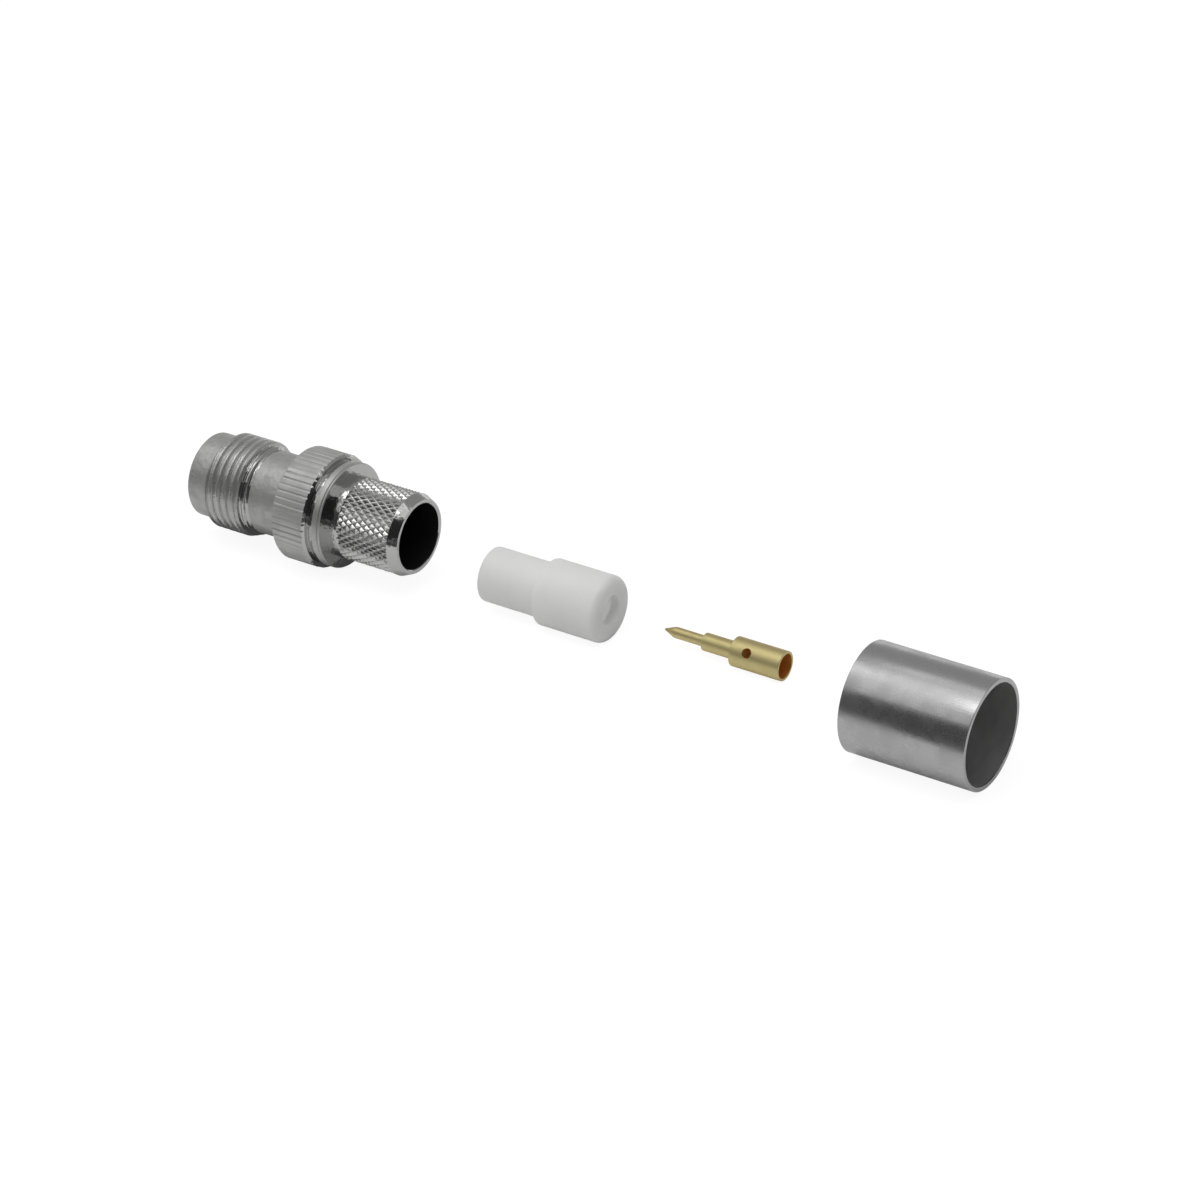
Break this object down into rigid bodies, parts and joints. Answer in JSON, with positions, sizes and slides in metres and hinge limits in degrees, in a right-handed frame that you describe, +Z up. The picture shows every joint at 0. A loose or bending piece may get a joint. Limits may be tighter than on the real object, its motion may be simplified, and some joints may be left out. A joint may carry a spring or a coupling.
{
  "type": "reverse polarity tnc crimp jack",
  "caption": "Threaded coaxial crimp jack, reverse polarity, as a loose kit in a row: nickel body with knurled ring and stem, white insulator, gilt contact pin, crimp ferrule.",
  "frame": {"origin": "on the floor under the middle of the row's bounding box", "axes": "+X along the axes of the pieces, from the threaded mouth of the jack to the ferrule; +Z up"},
  "size_m": [0.1006, 0.0156, 0.013],
  "materials": {
    "nickel_body": "bright nickel plate",
    "nickel_ferrule": "satin nickel plate",
    "ptfe": "matt white PTFE",
    "gold_contact": "pale gold plate"
  },
  "bodies": {
    "root": {"front_shell": "nickel_body", "crimp_stem": "nickel_body", "insulator": "ptfe", "contact_pin": "gold_contact", "crimp_ferrule": "nickel_ferrule"}
  },
  "joints": []
}
